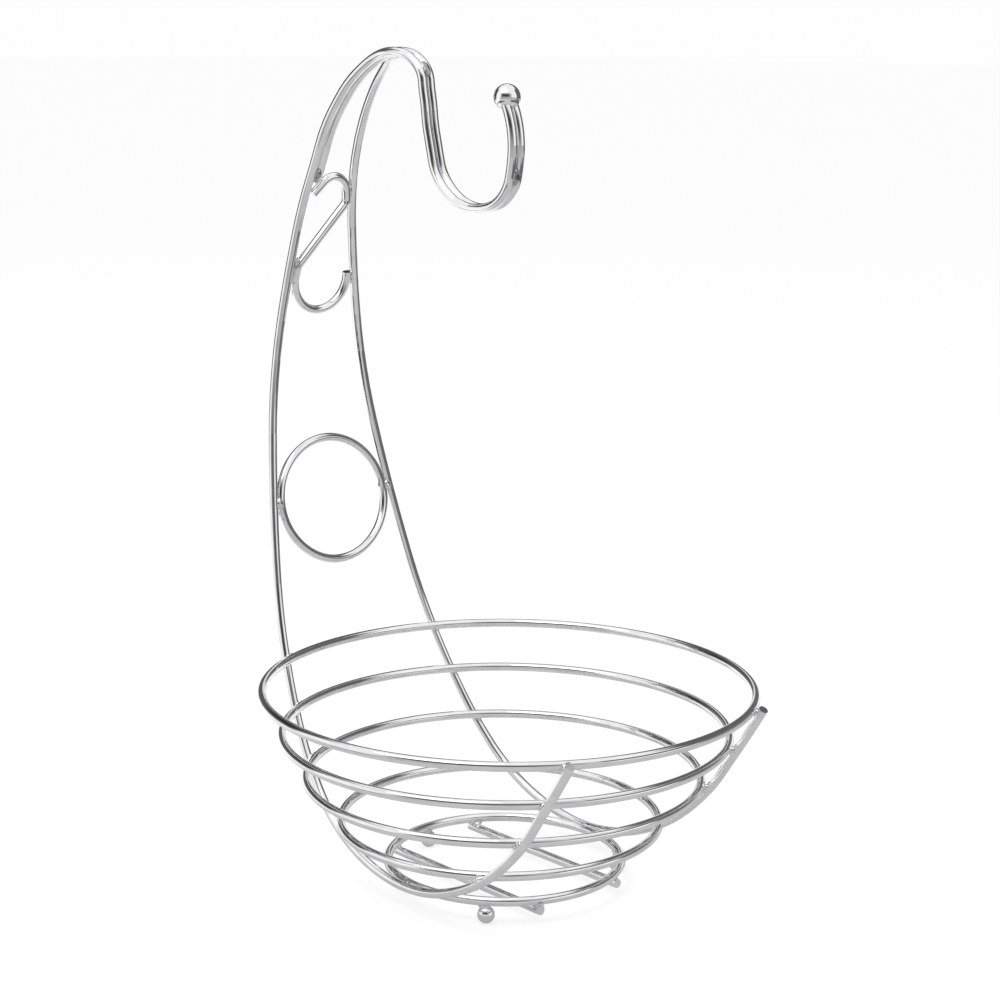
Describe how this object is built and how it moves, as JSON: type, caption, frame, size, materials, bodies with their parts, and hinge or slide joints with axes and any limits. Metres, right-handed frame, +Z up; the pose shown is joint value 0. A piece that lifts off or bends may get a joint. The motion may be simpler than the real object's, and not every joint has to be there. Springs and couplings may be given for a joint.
{
  "type": "fruit bowl with banana hanger",
  "caption": "Round open bowl of level wire rings on ball feet, with a tall leaning stem of two rails behind it that ends in a double-wire hook for a bunch of bananas.",
  "frame": {"origin": "centre of the base ring on the surface it stands on", "axes": "+Z up, -Y forward, to where the hook opens, +X to the right seen from the front; the stem stands at +Y"},
  "size_m": [0.26, 0.2909, 0.4307],
  "materials": {
    "bowl_wire": "bright chrome plate on round steel wire",
    "rail_wire": "bright chrome plate on round steel wire",
    "ornament_wire": "bright chrome plate on round steel wire",
    "base_wire": "bright chrome plate on round steel wire",
    "foot_ball": "bright chrome plate on a steel ball",
    "hook_ball": "bright chrome plate on a steel ball"
  },
  "bodies": {
    "root": {"rim_ring": "bowl_wire", "upper_ring": "bowl_wire", "middle_ring": "bowl_wire", "lower_ring": "bowl_wire", "base_ring": "bowl_wire", "left_rail": "rail_wire", "right_rail": "rail_wire", "hook_wire": "rail_wire", "stem_circle": "ornament_wire", "stem_scroll": "ornament_wire", "left_base_bar": "base_wire", "right_base_bar": "base_wire", "front_left_foot": "foot_ball", "front_right_foot": "foot_ball", "rear_foot": "foot_ball", "hook_ball": "hook_ball"}
  },
  "joints": []
}
